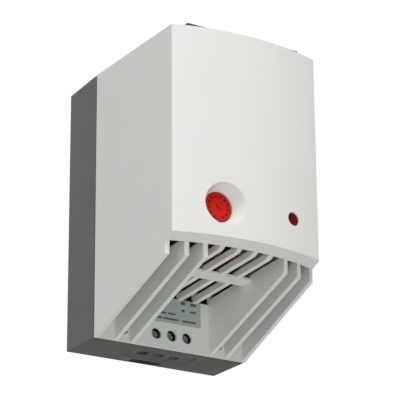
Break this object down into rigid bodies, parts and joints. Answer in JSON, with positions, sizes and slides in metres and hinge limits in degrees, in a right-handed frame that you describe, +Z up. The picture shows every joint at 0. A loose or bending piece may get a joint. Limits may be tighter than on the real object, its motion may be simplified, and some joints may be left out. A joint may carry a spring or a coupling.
{
  "type": "enclosure heater",
  "caption": "Fan heater for control cabinets: dark rail-mount base, light bowed hood with a slatted intake, red temperature dial, indicator lamp and top outlet grille.",
  "frame": {"origin": "centre of the rail seat: middle of the width, on the rear face, on the rail's centre line", "axes": "+X along the rail to the right seen from the front, +Y out of the rear face, +Z up; the front looks along -Y"},
  "size_m": [0.1, 0.128, 0.165],
  "materials": {
    "base_plastic": "fine moulded grain, dark grey",
    "hood_plastic": "satin moulded light grey",
    "grille_plastic": "dark moulded, heat resistant",
    "plate_foil": "satin silver foil, blank",
    "zinc_steel": "zinc plated",
    "terminal_plastic": "off-white moulded",
    "clamp_brass": "turned brass",
    "dial_plastic": "red moulded",
    "black_plastic": "black moulded",
    "board_laminate": "green laminate",
    "lamp_lens": "dark red clear plastic",
    "led_epoxy": "red clear epoxy",
    "magnet_ferrite": "bonded ferrite",
    "stator_copper": "lacquered copper on laminations",
    "duct_plastic": "heat resistant moulded",
    "fin_aluminium": "bare folded sheet",
    "ptc_ceramic": "fired, dark grey",
    "cutout_plastic": "cream phenolic",
    "wire_red": "red insulation",
    "wire_black": "black insulation",
    "wire_blue": "blue insulation",
    "clip_plastic": "dark moulded, tough"
  },
  "bodies": {
    "housing": {"rear_base": "base_plastic", "front_cover": "hood_plastic", "outlet_grille": "grille_plastic", "rating_plate": "plate_foil", "cover_screws": "zinc_steel", "terminal_block": "terminal_plastic", "terminal_screws": "zinc_steel", "terminal_clamps": "clamp_brass", "regulator_body": "black_plastic", "control_board": "board_laminate", "board_screws": "zinc_steel", "lamp_window": "lamp_lens", "lamp_led": "led_epoxy", "lamp_holder": "black_plastic", "fan_frame": "black_plastic", "fan_bearing": "clamp_brass", "fan_stator": "stator_copper", "fan_screws": "zinc_steel", "heater_duct": "duct_plastic", "duct_screws": "zinc_steel", "heater_fins": "fin_aluminium", "ptc_elements": "ptc_ceramic", "contact_strips": "fin_aluminium", "core_end_caps": "duct_plastic", "thermal_cutout": "cutout_plastic", "wire_regulator": "wire_red", "wire_lamp": "wire_red", "wire_fan": "wire_black", "wire_heater": "wire_red", "wire_neutral": "wire_blue", "clip_spring": "zinc_steel"},
    "dial": {"temperature_dial": "dial_plastic"},
    "rotor": {"fan_impeller": "black_plastic", "rotor_magnet": "magnet_ferrite", "fan_shaft": "zinc_steel"},
    "clip": {"din_clip": "clip_plastic"}
  },
  "joints": [
    {"name": "dial_turn", "type": "hinge", "parent": "housing", "child": "dial", "pos_m": [-0.0186, -0.1175, -0.0238], "axis": [0, -1, 0], "range_deg": [-135, 135]},
    {"name": "fan_spin", "type": "hinge", "parent": "housing", "child": "rotor", "pos_m": [0, -0.07706, 0.007], "axis": [0, 0, 1], "continuous": true},
    {"name": "clip_pull", "type": "slide", "parent": "housing", "child": "clip", "axis": [0, 0, -1], "range_m": [0, 0.004], "stiffness_N_per_m": 1500, "springref_m": -0.004, "deforming": ["clip_spring"]}
  ]
}
